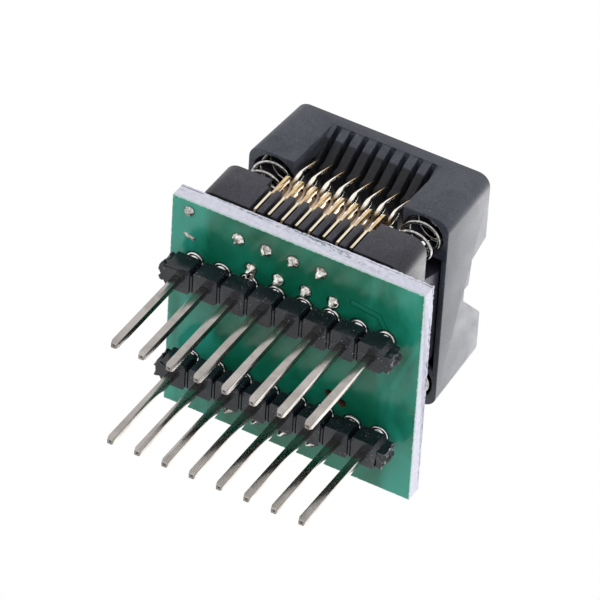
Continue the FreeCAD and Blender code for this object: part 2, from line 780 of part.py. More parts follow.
def add_hooks(body):
    """A tongue at each end that hangs inside the lug, with a barb below the lug's ledge."""
    inner = "lug_inner - hook_thickness - hook_gap"
    outer = "lug_inner - hook_gap"
    barb = "lug_inner + hook_barb - hook_gap"
    catch = "ledge - hook_gap / 2"
    hook = [
        (inner, "relief_top"),
        (inner, f"{catch} - hook_barb_height"),
        (outer, f"{catch} - hook_barb_height"),
        (barb, f"{catch} - hook_barb_height / 2"),
        (barb, catch),
        (outer, catch),
        (outer, "relief_top"),
    ]
    for side in ("-", "+"):
        corners = [(f"{side}1 * ( {x} )", z) for x, z in hook]
        pad(body, outline(body, "XZ_Plane", "0", corners), "hook_width", midplane=True)


def make_spring_pattern():
    """A compression spring of round wire with closed ends, as short straight lengths with mitred joints."""
    radius = value("spring_radius")
    wire = value("wire_radius")
    turns = value("spring_turns")
    closed = value("spring_closed_turns")
    low = value("shoulder") + wire
    high = value("spring_ceiling") - wire
    steps = 10
    sides = 5
    closed_rise = 2.2 * wire * closed
    open_rise = (high - low - 2 * closed_rise) / (turns - 2 * closed)
    points = []
    for step in range(int(steps * turns) + 1):
        turn = step / steps
        rise = min(turn, closed) * 2.2 * wire
        rise += max(0, min(turn, turns - closed) - closed) * open_rise
        rise += max(0, turn - turns + closed) * 2.2 * wire
        angle = 2 * math.pi * turn
        points.append(V(radius * math.cos(angle), radius * math.sin(angle), low + rise))
    along = (points[1] - points[0]).normalize()
    across = along.cross(V(0, 0, 1)).normalize()
    upward = across.cross(along)
    ring = []
    for corner in range(sides + 1):
        angle = 2 * math.pi * corner / sides
        ring.append(points[0] + across * (wire * math.cos(angle)) + upward * (wire * math.sin(angle)))
    coil = doc.addObject("Part::Feature", "spring_pattern")
    coil.Shape = Part.makePolygon(points).makePipeShell([Part.makePolygon(ring)], True, False, 1)
    return coil


def make_springs():
    pattern = make_spring_pattern()
    for end, x in (("left", "-"), ("right", "+")):
        for side, y in (("front", "-"), ("back", "+")):
            place_copy(f"spring_{end}_{side}", pattern, f"socket_x {x} spring_x", f"{y}1 * spring_y")


nodes = []
make_board()
make_strips()
make_pins()
make_pin_solder()
make_tail_solder()
make_via_solder()
make_base()
make_cover()
make_contacts()
make_springs()
doc.recompute()

for thing in doc.Objects:
    if "Invalid" in thing.State or "Error" in thing.State:
        raise RuntimeError(f"{thing.Label} failed: {thing.State}")
os.makedirs("parts", exist_ok=True)
for node in nodes:
    if node.Shape.isNull() or not node.Shape.isValid():
        raise RuntimeError(f"{node.Label} has no valid shape")
    node.Shape.exportStep(f"parts/{node.Label}.step")
    box = node.Shape.BoundBox
    print(node.Label, len(node.Shape.Solids), round(node.Shape.Volume, 3),
          [round(edge, 2) for edge in (box.XMin, box.YMin, box.ZMin, box.XMax, box.YMax, box.ZMax)])
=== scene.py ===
import json
import math
import random

import bmesh
import bpy
from mathutils import Euler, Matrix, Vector, noise

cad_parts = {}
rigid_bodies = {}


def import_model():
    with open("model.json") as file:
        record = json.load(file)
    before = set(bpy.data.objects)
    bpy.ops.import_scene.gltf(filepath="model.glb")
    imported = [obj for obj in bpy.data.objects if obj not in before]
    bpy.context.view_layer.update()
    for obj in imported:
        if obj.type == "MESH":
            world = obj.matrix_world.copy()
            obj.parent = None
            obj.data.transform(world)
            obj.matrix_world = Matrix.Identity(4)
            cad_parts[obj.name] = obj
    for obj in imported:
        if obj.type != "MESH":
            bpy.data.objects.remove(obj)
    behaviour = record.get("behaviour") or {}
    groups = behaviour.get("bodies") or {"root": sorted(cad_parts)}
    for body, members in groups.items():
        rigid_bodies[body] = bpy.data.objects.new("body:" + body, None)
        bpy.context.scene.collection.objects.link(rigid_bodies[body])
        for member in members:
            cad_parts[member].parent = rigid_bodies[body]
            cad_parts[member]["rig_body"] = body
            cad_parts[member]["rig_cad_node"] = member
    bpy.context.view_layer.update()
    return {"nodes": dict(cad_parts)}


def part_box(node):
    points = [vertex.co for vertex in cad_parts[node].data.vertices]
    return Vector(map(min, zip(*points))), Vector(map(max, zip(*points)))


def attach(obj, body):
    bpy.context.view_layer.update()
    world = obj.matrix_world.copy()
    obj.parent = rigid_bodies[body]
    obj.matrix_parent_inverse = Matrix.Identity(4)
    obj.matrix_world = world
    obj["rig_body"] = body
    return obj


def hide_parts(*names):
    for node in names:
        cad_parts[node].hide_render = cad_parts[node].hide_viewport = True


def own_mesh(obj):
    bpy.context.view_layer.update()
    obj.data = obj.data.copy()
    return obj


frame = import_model()

mm = 0.001
near = 0.01 * mm        # places closer than this count as the same


# small tools

def deselectAll():
    if bpy.context.object and bpy.context.object.mode != "OBJECT":
        bpy.ops.object.mode_set(mode="OBJECT")
    bpy.ops.object.select_all(action="DESELECT")


def pick(piece):
    deselectAll()
    piece.select_set(True)
    bpy.context.view_layer.objects.active = piece


def bakePlace(piece):
    # the place goes into the mesh, so patterns on Object coordinates stay put
    pick(piece)
    bpy.ops.object.transform_apply(location=True, rotation=True, scale=True)


def applyAll(piece):
    pick(piece)
    for modifier in list(piece.modifiers):
        bpy.ops.object.modifier_apply(modifier=modifier.name)


def copyOf(piece, name):
    twin = piece.copy()
    twin.data = piece.data.copy()
    twin.name = name
    bpy.context.scene.collection.objects.link(twin)
    return twin


def openMesh(piece):
    # edit mode, with everything selected
    pick(piece)
    bpy.ops.object.mode_set(mode="EDIT")
    bpy.ops.mesh.select_all(action="SELECT")


def closeMesh(outward=False):
    # object mode again; where asked, the normals are turned outward first
    if outward:
        bpy.ops.mesh.select_all(action="SELECT")
        bpy.ops.mesh.normals_make_consistent(inside=False)
    bpy.ops.object.mode_set(mode="OBJECT")


cadMesh = {
    "mergeWithin": 0.002 * mm,
    "flatWithin": math.radians(1.0),
    "cutWithin": 0.001 * mm,        # the tool's own limit would swallow cuts that lie close
}


def fromCad(node, name, joinFaces=True):
    # a CAD mesh is loose triangles: merged, and flat faces joined again
    piece = copyOf(frame["nodes"][node], name)
    piece.parent = None
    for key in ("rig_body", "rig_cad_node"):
        if key in piece:
            del piece[key]
    piece.hide_render = False
    piece.hide_viewport = False
    openMesh(piece)
    bpy.ops.mesh.remove_doubles(threshold=cadMesh["mergeWithin"])
    if joinFaces:
        bpy.ops.mesh.dissolve_limited(angle_limit=cadMesh["flatWithin"])
    closeMesh()
    return piece


def cutAcross(point, normal):
    # in edit mode: new edges where a plane passes
    bpy.ops.mesh.select_all(action="SELECT")
    bpy.ops.mesh.bisect(plane_co=point, plane_no=normal, threshold=cadMesh["cutWithin"])


def selectOnly(kind, test):
    # in edit mode: only the faces or edges that the test picks
    mesh = bpy.context.object.data
    bpy.ops.mesh.select_mode(type=kind)
    bpy.ops.mesh.select_all(action="DESELECT")
    shape = bmesh.from_edit_mesh(mesh)
    for part in shape.faces if kind == "FACE" else shape.edges:
        part.select_set(bool(test(part)))
    bmesh.update_edit_mesh(mesh)


def softEdges(piece, width, angle, clamp=True):
    bevel = piece.modifiers.new("edges", "BEVEL")
    bevel.width = width
    bevel.segments = 2
    bevel.limit_method = "ANGLE"
    bevel.angle_limit = math.radians(angle)
    bevel.use_clamp_overlap = clamp
    applyAll(piece)
    smooth(piece, angle)


def smooth(piece, angle):
    pick(piece)
    bpy.ops.object.shade_smooth_by_angle(angle=math.radians(angle))


def turned(name, rings, sides):
    # a turned form: a round face pushed on from ring to ring, each a radius and a height
    deselectAll()
    radius, height = rings[0]
    bpy.ops.mesh.primitive_circle_add(vertices=sides, radius=radius, fill_type="NGON", location=(0, 0, height))
    piece = bpy.context.object
    piece.name = name
    bakePlace(piece)
    openMesh(piece)
    for nextRadius, nextHeight in rings[1:]:
        share = nextRadius / radius
        bpy.ops.mesh.extrude_region_move(TRANSFORM_OT_translate={"value": (0, 0, nextHeight - height)})
        bpy.ops.transform.resize(value=(share, share, 1), center_override=(0, 0, nextHeight))
        radius, height = nextRadius, nextHeight
    closeMesh(outward=True)
    return piece


def scatterPoints(piece, offset, seed):
    # the points pushed about at random, always in the same way
    openMesh(piece)
    bpy.ops.transform.vertex_random(offset=offset, uniform=0.0, normal=0.0, seed=seed)
    closeMesh()


def joinPieces(pieces, name):
    deselectAll()
    for piece in pieces:
        piece.select_set(True)
    bpy.context.view_layer.objects.active = pieces[0]
    bpy.ops.object.join()
    pieces[0].name = name
    return pieces[0]


def placeCopy(master, name, x, y, z=0.0, scale=(1, 1, 1), turn=0.0):
    twin = copyOf(master, name)
    twin.location = (x, y, z)
    twin.scale = scale
    twin.rotation_euler = (0, 0, turn)
    bakePlace(twin)
    return twin


def finishPiece(piece, body, material, slotName, *nodes):
    piece.data.materials.clear()
    piece.data.materials.append(material)
    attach(piece, body)
    if nodes:
        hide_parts(*nodes)


def middle(node):
    low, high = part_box(node)
    return (low + high) / 2


def eachWay(kind):
    # side, sign of its Y, number, node and middle of each pin or contact
    for side, sign in (("front", -1), ("back", 1)):
        for number in range(1, 9):
            node = f"{kind}_{side}_{number}"
            yield side, sign, number, node, middle(node)


# shader tools

def setInput(tree, socket, value):
    # a plain value is set on the socket, and another node's output is linked to it
    if isinstance(value, bpy.types.NodeSocket):
        tree.links.new(value, socket)
    elif value is not None:
        socket.default_value = value


def addMath(tree, operation, first, second=None, clamp=False):
    node = tree.nodes.new("ShaderNodeMath")
    node.operation = operation
    node.use_clamp = clamp
    setInput(tree, node.inputs[0], first)
    setInput(tree, node.inputs[1], second)
    return node.outputs[0]


def addVector(tree, operation, first, second=None, result=0):
    node = tree.nodes.new("ShaderNodeVectorMath")
    node.operation = operation
    setInput(tree, node.inputs[0], first)
    setInput(tree, node.inputs[1], second)
    return node.outputs[result]


def addNoise(tree, coordinates, scale, detail=4.0, roughness=0.55, distortion=0.0):
    node = tree.nodes.new("ShaderNodeTexNoise")
    node.inputs["Detail"].default_value = detail
    node.inputs["Roughness"].default_value = roughness
    node.inputs["Distortion"].default_value = distortion
    setInput(tree, node.inputs["Scale"], scale)
    setInput(tree, node.inputs["Vector"], coordinates)
    return node.outputs["Fac"]


def addRange(tree, value, low, high, newLow=0.0, newHigh=1.0):
    node = tree.nodes.new("ShaderNodeMapRange")
    names = ("Value", "From Min", "From Max", "To Min", "To Max")
    for name, setting in zip(names, (value, low, high, newLow, newHigh)):
        setInput(tree, node.inputs[name], setting)
    return node.outputs["Result"]


def addMix(tree, factor, first, second):
    node = tree.nodes.new("ShaderNodeMix")
    node.data_type = "RGBA"
    for number, value in ((0, factor), (6, first), (7, second)):
        setInput(tree, node.inputs[number], value)
    return node.outputs[2]


def addTogether(tree, operation, values):
    total = values[0]
    for value in values[1:]:
        total = addMath(tree, operation, total, value)
    return total


def addGap(tree, first, second):
    return addMath(tree, "ABSOLUTE", addMath(tree, "SUBTRACT", first, second))


def addObjectPlace(tree):
    return tree.nodes.new("ShaderNodeTexCoord").outputs["Object"]


def addSplit(tree, vector):
    node = tree.nodes.new("ShaderNodeSeparateXYZ")
    tree.links.new(vector, node.inputs[0])
    return node.outputs


def addFacing(tree):
    # the parts of the surface's normal
    return addSplit(tree, tree.nodes.new("ShaderNodeNewGeometry").outputs["Normal"])


def linkSurface(tree, out, factor, first, second):
    # the second shader where the factor is one
    mix = tree.nodes.new("ShaderNodeMixShader")
    for number, value in enumerate((factor, first, second)):
        tree.links.new(value, mix.inputs[number])
    tree.links.new(mix.outputs[0], out.inputs["Surface"])


# camera, lamps, world and floor

camera = {
    "place": (185.689 * mm, -340.825 * mm, -340.198 * mm),
    "turn": (141.4447, -29.9779, -3.1897),      # degrees, XYZ
    "lens": 390.0,
    "sensor": 36.0,
    "near": 0.02,
    "far": 20.0,
}


def addCamera():
    data = bpy.data.cameras.new("photoCamera")
    data.lens = camera["lens"]
    data.sensor_width = camera["sensor"]
    data.clip_start = camera["near"]
    data.clip_end = camera["far"]
    eye = bpy.data.objects.new("photoCamera", data)
    eye.location = camera["place"]
    eye.rotation_euler = Euler([math.radians(a) for a in camera["turn"]], "XYZ")
    bpy.context.scene.collection.objects.link(eye)
    bpy.context.scene.camera = eye
    print("stage: camera")


lamps = {
    "target": (0.0, 0.0, 15 * mm),
    "mirrored": ("farSide",),
    "list": [
        # name, place in mm, size in mm, power in W
        ("overBoard", (-60, -190, -180), 160, 0.35),
        ("right", (260, -60, -40), 160, 0.30),
        ("above", (40, -60, 260), 260, 0.42),
        ("farSide", (110, 200, 200), 260, 0.50),
    ],
}


def addLamps():
    target = Vector(lamps["target"])
    for name, place, size, power in lamps["list"]:
        data = bpy.data.lights.new(name, "AREA")
        data.shape = "SQUARE"
        data.size = size * mm
        data.energy = power
        lamp = bpy.data.objects.new(name, data)
        lamp.location = Vector(place) * mm
        lamp.rotation_euler = (target - lamp.location).to_track_quat("-Z", "Y").to_euler()
        lamp.visible_camera = False
        lamp.visible_glossy = name in lamps["mirrored"]     # the white room does the other reflections
        bpy.context.scene.collection.objects.link(lamp)
    print("stage: lamps")


world = {
    "seen": (1, 1, 1, 1),
    "lit": (0.92, 0.95, 1.0, 1),
    "litStrength": 0.42,
}


def addWorld():
    # white where it is seen or mirrored, softer where it lights
    studio = bpy.data.worlds.new("studio")
    bpy.context.scene.world = studio
    studio.use_nodes = True
    tree = studio.node_tree
    tree.nodes.clear()
    out = tree.nodes.new("ShaderNodeOutputWorld")
    seen = tree.nodes.new("ShaderNodeBackground")
    seen.inputs["Color"].default_value = world["seen"]
    lit = tree.nodes.new("ShaderNodeBackground")
    lit.inputs["Color"].default_value = world["lit"]
    lit.inputs["Strength"].default_value = world["litStrength"]
    path = tree.nodes.new("ShaderNodeLightPath")
    direct = addMath(tree, "MAXIMUM", path.outputs["Is Camera Ray"], path.outputs["Is Glossy Ray"])
    direct = addMath(tree, "MAXIMUM", direct, path.outputs["Is Transmission Ray"])
    linkSurface(tree, out, direct, lit.outputs[0], seen.outputs[0])
    print("stage: world")


floor = {
    "size": 1200 * mm,
    "colour": (0.86, 0.86, 0.87, 1),
}


def addFloor():
    # pale from above and clear from below, because the photograph looks up at the board
    deselectAll()
    bpy.ops.mesh.primitive_plane_add(size=floor["size"], location=(0, 0, 0))
    plane = bpy.context.object
    plane.name = "floor"
    bakePlace(plane)
    material = bpy.data.materials.new("floorPale")
    material.use_nodes = True
    tree = material.node_tree
    tree.nodes.clear()
    out = tree.nodes.new("ShaderNodeOutputMaterial")
    pale = tree.nodes.new("ShaderNodeBsdfDiffuse")
    pale.inputs["Color"].default_value = floor["colour"]
    clear = tree.nodes.new("ShaderNodeBsdfTransparent")
    side = tree.nodes.new("ShaderNodeNewGeometry")
    path = tree.nodes.new("ShaderNodeLightPath")
    hidden = addMath(tree, "MAXIMUM", path.outputs["Is Shadow Ray"], path.outputs["Is Glossy Ray"])
    hidden = addMath(tree, "MAXIMUM", hidden, side.outputs["Backfacing"])
    linkSurface(tree, out, hidden, pale.outputs[0], clear.outputs[0])
    plane.data.materials.append(material)
    print("stage: floor")


# shader groups that several finishes share

def newGroup(name, inputs, outputs):
    group = bpy.data.node_groups.new(name, "ShaderNodeTree")
    for socketName, kind, value in inputs:
        socket = group.interface.new_socket(name=socketName, in_out="INPUT", socket_type=kind)
        socket.default_value = value
    for socketName, kind in outputs:
        group.interface.new_socket(name=socketName, in_out="OUTPUT", socket_type=kind)
    return group, group.nodes.new("NodeGroupInput"), group.nodes.new("NodeGroupOutput")


edgeWear = {
    "samples": 4,
    "dots": (0.99, 0.75),       # how well the two normals agree: on a flat, on an edge
    "breaks": (0.38, 0.62),
}


def makeEdgeGroup():
    # lighter worn edges: where a wide bevel normal leaves the true one
    group, into, out = newGroup(
        "edgeWear",
        [("Radius", "NodeSocketFloat", 0.0001), ("Breakup", "NodeSocketFloat", 900.0)],
        [("Mask", "NodeSocketFloat")],
    )
    bevel = group.nodes.new("ShaderNodeBevel")
    bevel.samples = edgeWear["samples"]
    group.links.new(into.outputs["Radius"], bevel.inputs["Radius"])
    normal = group.nodes.new("ShaderNodeNewGeometry").outputs["Normal"]
    together = addVector(group, "DOT_PRODUCT", bevel.outputs[0], normal, 1)
    edge = addRange(group, together, *edgeWear["dots"])
    spots = addNoise(group, addObjectPlace(group), into.outputs["Breakup"], 5.0, 0.65)
    broken = addRange(group, spots, *edgeWear["breaks"])
    group.links.new(addMath(group, "MULTIPLY", edge, broken, True), out.inputs["Mask"])
    return group


def makeGrainGroup():
    # moulded plastic: fine grain and slow cloudiness
    group, into, out = newGroup(
        "mouldGrain",
        [("Grain Scale", "NodeSocketFloat", 9000.0), ("Cloud Scale", "NodeSocketFloat", 350.0)],
        [("Grain", "NodeSocketFloat"), ("Cloud", "NodeSocketFloat")],
    )
    place = addObjectPlace(group)
    grain = addNoise(group, place, into.outputs["Grain Scale"], 3.0, 0.7)
    cloud = addNoise(group, place, into.outputs["Cloud Scale"], 5.0, 0.6, 0.8)
    group.links.new(grain, out.inputs["Grain"])
    group.links.new(addRange(group, cloud, 0.3, 0.7), out.inputs["Cloud"])
    return group


specks = {
    "reach": (0.2, 0.08),       # from a cell's middle, in cells: clear, full
    "whereScale": 700.0,
    "where": (0.5, 0.62),
}


def makeSpeckGroup():
    # pale specks, few and small
    group, into, out = newGroup(
        "paleSpecks",
        [("Speck Scale", "NodeSocketFloat", 4200.0), ("Amount", "NodeSocketFloat", 0.5)],
        [("Mask", "NodeSocketFloat")],
    )
    place = addObjectPlace(group)
    cells = group.nodes.new("ShaderNodeTexVoronoi")
    group.links.new(place, cells.inputs["Vector"])
    group.links.new(into.outputs["Speck Scale"], cells.inputs["Scale"])
    close = addRange(group, cells.outputs["Distance"], *specks["reach"])
    where = addRange(group, addNoise(group, place, specks["whereScale"], 3.0, 0.6), *specks["where"])
    some = addMath(group, "MULTIPLY", addMath(group, "MULTIPLY", close, where), into.outputs["Amount"], True)
    group.links.new(some, out.inputs["Mask"])
    return group


trackLook = {
    "inside": (1.15, 0.85),     # in half widths from the middle line
    "line": 1.15,
    "lineFade": (0.5, 0.1),
}


def makeTrackGroup():
    # a copper track under the mask: one where a straight run between two points passes
    group, into, out = newGroup(
        "copperTrack",
        [("Start", "NodeSocketVector", (0, 0, 0)), ("End", "NodeSocketVector", (0.01, 0, 0)),
         ("Half Width", "NodeSocketFloat", 0.0002)],
        [("Mask", "NodeSocketFloat"), ("Edge", "NodeSocketFloat")],
    )
    flat = addVector(group, "MULTIPLY", addObjectPlace(group), (1, 1, 0))
    away = addVector(group, "SUBTRACT", flat, into.outputs["Start"])
    run = addVector(group, "SUBTRACT", into.outputs["End"], into.outputs["Start"])
    dot = addVector(group, "DOT_PRODUCT", away, run, 1)
    square = addVector(group, "DOT_PRODUCT", run, run, 1)
    share = addMath(group, "DIVIDE", dot, square, True)
    scaled = group.nodes.new("ShaderNodeVectorMath")
    scaled.operation = "SCALE"
    group.links.new(run, scaled.inputs[0])
    group.links.new(share, scaled.inputs["Scale"])
    gap = addVector(group, "LENGTH", addVector(group, "SUBTRACT", away, scaled.outputs[0]), None, 1)
    relative = addMath(group, "DIVIDE", gap, into.outputs["Half Width"])
    group.links.new(addRange(group, relative, *trackLook["inside"]), out.inputs["Mask"])
    line = addRange(group, addGap(group, relative, trackLook["line"]), *trackLook["lineFade"])
    group.links.new(line, out.inputs["Edge"])
    return group


padLook = {
    "inside": (1.0, 0.94),      # in radii from the middle
    "rim": 1.06,
    "rimFade": (0.16, 0.05),
}


def makePadGroup():
    # round pads in a row along X: one inside, and a dark rim round each
    group, into, out = newGroup(
        "padRow",
        [("First", "NodeSocketFloat", 0.0), ("Last", "NodeSocketFloat", 0.01),
         ("Pitch", "NodeSocketFloat", 0.00254), ("Row", "NodeSocketFloat", 0.0),
         ("Radius", "NodeSocketFloat", 0.0008)],
        [("Mask", "NodeSocketFloat"), ("Edge", "NodeSocketFloat")],
    )
    first, pitch = into.outputs["First"], into.outputs["Pitch"]
    split = addSplit(group, addObjectPlace(group))
    along = addMath(group, "MAXIMUM", split["X"], first)
    along = addMath(group, "MINIMUM", along, into.outputs["Last"])
    count = addMath(group, "DIVIDE", addMath(group, "SUBTRACT", along, first), pitch)
    nearest = addMath(group, "MULTIPLY", addMath(group, "ROUND", count), pitch)
    nearest = addMath(group, "ADD", nearest, first)
    acrossX = addMath(group, "POWER", addMath(group, "SUBTRACT", split["X"], nearest), 2.0)
    acrossY = addMath(group, "POWER", addMath(group, "SUBTRACT", split["Y"], into.outputs["Row"]), 2.0)
    gap = addMath(group, "SQRT", addMath(group, "ADD", acrossX, acrossY))
    relative = addMath(group, "DIVIDE", gap, into.outputs["Radius"])
    group.links.new(addRange(group, relative, *padLook["inside"]), out.inputs["Mask"])
    rim = addRange(group, addGap(group, relative, padLook["rim"]), *padLook["rimFade"])
    group.links.new(rim, out.inputs["Edge"])
    return group


edgeGroup = makeEdgeGroup()
grainGroup = makeGrainGroup()
speckGroup = makeSpeckGroup()
trackGroup = makeTrackGroup()
padGroup = makePadGroup()


def useGroup(tree, group, values):
    node = tree.nodes.new("ShaderNodeGroup")
    node.node_tree = group
    for name, value in values.items():
        node.inputs[name].default_value = value
    return node.outputs


def newMaterial(name, **values):
    material = bpy.data.materials.new(name)
    material.use_nodes = True
    tree = material.node_tree
    shader = tree.nodes["Principled BSDF"]
    for socket, value in values.items():
        shader.inputs[socket].default_value = value
    return material, tree, shader


def addBump(tree, shader, height, strength, distance):
    bump = tree.nodes.new("ShaderNodeBump")
    bump.inputs["Strength"].default_value = strength
    bump.inputs["Distance"].default_value = distance
    tree.links.new(height, bump.inputs["Height"])
    tree.links.new(bump.outputs[0], shader.inputs["Normal"])


plasticLook = {
    "mottleFrom": (0.38, 0.62),
    "mottleTo": (-0.35, 0.35),
    "speckling": (0.5, 0.5, 0.5, 1),
    "edge": 0.10 * mm,
    "rough": (-0.05, 0.08),     # around the finish's own roughness
    "bump": 0.35,
    "shadeZoneGrain": (0.35, 0.65),
    "shadeZoneShare": (0.75, 1.0),
}


def blackPlastic(name, dark, light, worn, roughness, grainDepth, speckling, grainScale, shadeZone=None):
    # zone of painted shade: darker and rougher, below a height and inside a distance from the middle plane
    material, tree, shader = newMaterial(name)
    grain = useGroup(tree, grainGroup, {"Grain Scale": grainScale})
    edge = useGroup(tree, edgeGroup, {"Radius": plasticLook["edge"]})
    speckled = useGroup(tree, speckGroup, {"Amount": speckling})
    mottled = addRange(tree, grain["Grain"], *plasticLook["mottleFrom"], *plasticLook["mottleTo"])
    mottled = addMath(tree, "ADD", grain["Cloud"], mottled, True)
    colour = addMix(tree, mottled, dark, light)
    colour = addMix(tree, edge["Mask"], colour, worn)
    # pale specks mixed into the colour
    colour = addMix(tree, speckled["Mask"], colour, plasticLook["speckling"])
    rough = addRange(tree, grain["Cloud"], 0.0, 1.0, *[roughness + change for change in plasticLook["rough"]])
    if shadeZone:
        split = addSplit(tree, addObjectPlace(tree))
        limits = ((split["Z"], "top"), (addMath(tree, "ABSOLUTE", split["Y"]), "reach"),
                  (addGap(tree, split["X"], shadeZone["middle"]), "half"))
        masks = [addRange(tree, value, shadeZone[limit], shadeZone[limit] - shadeZone["fade"]) for value, limit in limits]
        masks.append(addRange(tree, grain["Grain"], *plasticLook["shadeZoneGrain"], *plasticLook["shadeZoneShare"]))
        mask = addTogether(tree, "MULTIPLY", masks)
        # painted shade mixed into the colour
        colour = addMix(tree, mask, colour, shadeZone["colour"])
        rough = addMath(tree, "ADD", rough, addMath(tree, "MULTIPLY", mask, shadeZone["rougher"]), True)
    tree.links.new(colour, shader.inputs["Base Color"])
    tree.links.new(rough, shader.inputs["Roughness"])
    addBump(tree, shader, grain["Grain"], plasticLook["bump"], grainDepth)
    return material


# painted shade between the ribs of the cover, darker and rougher below a height
ribPaintedShade = {
    "top": 27.9 * mm,
    "reach": 9.25 * mm,
    "middle": -0.95 * mm,
    "half": 5.15 * mm,
    "fade": 0.15 * mm,
    "colour": (0.002, 0.002, 0.003, 1),
    "rougher": 0.35,
}


# painted shade in the step under the base's walls
footPaintedShade = {
    "top": 14.84 * mm,
    "reach": 12.0 * mm,
    "middle": -0.95 * mm,
    "half": 12.0 * mm,
    "fade": 0.05 * mm,
    "colour": (0.001, 0.001, 0.001, 1),
    "rougher": 0.4,
}


gold = {
    "loop": ((0.62, 0.41, 0.20, 1), (0.86, 0.66, 0.38, 1)),
    "leg": ((0.80, 0.70, 0.48, 1), (0.95, 0.88, 0.70, 1)),
    # painted highlight: pale cream on the shoulders inside the socket
    "paintedHighlight": (0.96, 0.92, 0.84, 1),
    # painted shade: dark brown low inside the socket and on faces turned down
    "deep": (0.11, 0.06, 0.025, 1),
    "insideShadeShare": 0.85,
    # painted shade on the +X side of the contacts
    "side": (0.20, 0.11, 0.05, 1),
    "shadedSideShare": 0.6,
    # heights and distances from the middle plane, between which one look turns into another
    "legTop": (18.2 * mm, 17.8 * mm),
    "highlightLow": (21.4 * mm, 21.9 * mm),
    "highlightHigh": (24.1 * mm, 23.7 * mm),
    "inner": (9.5 * mm, 9.2 * mm),
    "insideShadeTop": (22.0 * mm, 21.2 * mm),
    "shadedSideTop": (22.0 * mm, 21.5 * mm),
    "underneath": (-0.1, -0.4),
    "spots": (900.0, 3.0, 0.6, 0.5),
    "spotRange": (0.35, 0.65),
    "rough": (0.14, 0.40),
    "bumpDepth": 0.0008 * mm,
}

sideways = (0.8, 0.95)      # how far a normal's X has to go for the painted shade on the +X side of a contact or a pin


def goldMaterial():
    # plated: paler on the legs, browner up at the loops; painted shade, with more roughness, low inside the
    # socket and on faces turned down; painted shade on the +X side; a painted highlight on the shoulders
    material, tree, shader = newMaterial("contactGold", Metallic=1.0)
    place = addObjectPlace(tree)
    split = addSplit(tree, place)
    facing = addFacing(tree)
    spots = addNoise(tree, place, *gold["spots"])
    inner = addRange(tree, addMath(tree, "ABSOLUTE", split["Y"]), *gold["inner"])
    colour = addMix(tree, addRange(tree, spots, *gold["spotRange"]), *gold["loop"])
    pale = addMix(tree, spots, *gold["leg"])
    colour = addMix(tree, addRange(tree, split["Z"], *gold["legTop"]), colour, pale)
    # painted highlight on the shoulders, inside the socket
    highlightBand = [addRange(tree, split["Z"], *gold[limit]) for limit in ("highlightLow", "highlightHigh")]
    colour = addMix(tree, addTogether(tree, "MULTIPLY", highlightBand + [inner]), colour, gold["paintedHighlight"])
    # painted shade low inside the socket and on faces turned down; it also makes them rougher
    deep = addMath(tree, "MAXIMUM", inner, addRange(tree, facing["Z"], *gold["underneath"]))
    low = addRange(tree, split["Z"], *gold["insideShadeTop"])
    inside = addTogether(tree, "MULTIPLY", [deep, low, gold["insideShadeShare"]])
    colour = addMix(tree, inside, colour, gold["deep"])
    # painted shade on the +X side, low down
    side = addRange(tree, facing["X"], *sideways, 0.0, gold["shadedSideShare"])
    side = addMath(tree, "MULTIPLY", side, addRange(tree, split["Z"], *gold["shadedSideTop"]))
    colour = addMix(tree, side, colour, gold["side"])
    tree.links.new(colour, shader.inputs["Base Color"])
    tree.links.new(addRange(tree, inside, 0.0, 1.0, *gold["rough"]), shader.inputs["Roughness"])
    addBump(tree, shader, spots, 0.3, gold["bumpDepth"])
    return material


def metal(name, dark, light, roughness, scale, bumpDepth):
    material, tree, shader = newMaterial(name, Metallic=1.0)
    spots = addNoise(tree, addObjectPlace(tree), scale, 4.0, 0.6, 0.5)
    mask = addRange(tree, spots, 0.35, 0.65)
    tree.links.new(addMix(tree, mask, dark, light), shader.inputs["Base Color"])
    tree.links.new(addRange(tree, mask, 0.0, 1.0, roughness + 0.1, roughness), shader.inputs["Roughness"])
    addBump(tree, shader, spots, 0.3, bumpDepth)
    return material


pinLook = {
    "dark": (0.38, 0.350, 0.33, 1),
    "light": (0.50, 0.465, 0.44, 1),
    # painted shade for the +X side and the tip's face turned down
    "paintedShade": (0.06, 0.055, 0.05, 1),
    "shadedSideShare": 0.5,
    # where the tip's face turned down gets the painted shade, and how much
    "tip": (-0.8, -0.95),
    "tipShare": 0.9,
}


def pinMaterial():
    # tin on drawn wire, with painted shade on its +X side and on the tip's face turned down
    material = metal("pinTin", pinLook["dark"], pinLook["light"], 0.14, 500.0, 0.0008 * mm)
    tree = material.node_tree
    shader = tree.nodes["Principled BSDF"]
    facing = addFacing(tree)
    # painted shade on the +X side and on the tip's face turned down
    side = addRange(tree, facing["X"], *sideways, 0.0, pinLook["shadedSideShare"])
    tip = addRange(tree, facing["Z"], *pinLook["tip"], 0.0, pinLook["tipShare"])
    colour = shader.inputs["Base Color"].links[0].from_socket
    colour = addMix(tree, addMath(tree, "MAXIMUM", side, tip), colour, pinLook["paintedShade"])
    tree.links.new(colour, shader.inputs["Base Color"])
    return material


# what the solder pieces and the board's pads share

